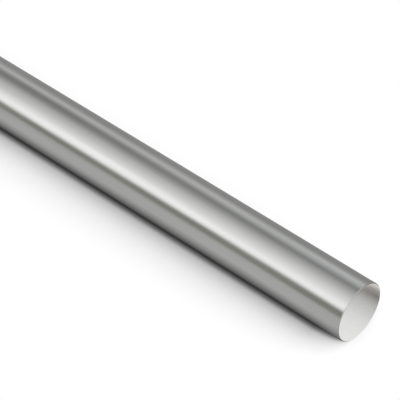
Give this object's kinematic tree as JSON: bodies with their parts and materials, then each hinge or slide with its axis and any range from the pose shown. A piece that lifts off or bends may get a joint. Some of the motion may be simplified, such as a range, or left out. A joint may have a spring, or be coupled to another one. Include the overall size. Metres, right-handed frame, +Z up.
{
  "type": "round metal bar",
  "caption": "Solid round bar of polished steel stock, cut square and chamfered at both ends.",
  "frame": {"origin": "on the floor under the middle of the bar, which lies on its side", "axes": "+X along the bar, +Z up"},
  "size_m": [0.5, 0.03, 0.03],
  "materials": {
    "polished_steel": "polished, with faint lengthwise drawing lines"
  },
  "bodies": {
    "root": {"round_bar": "polished_steel"}
  },
  "joints": []
}
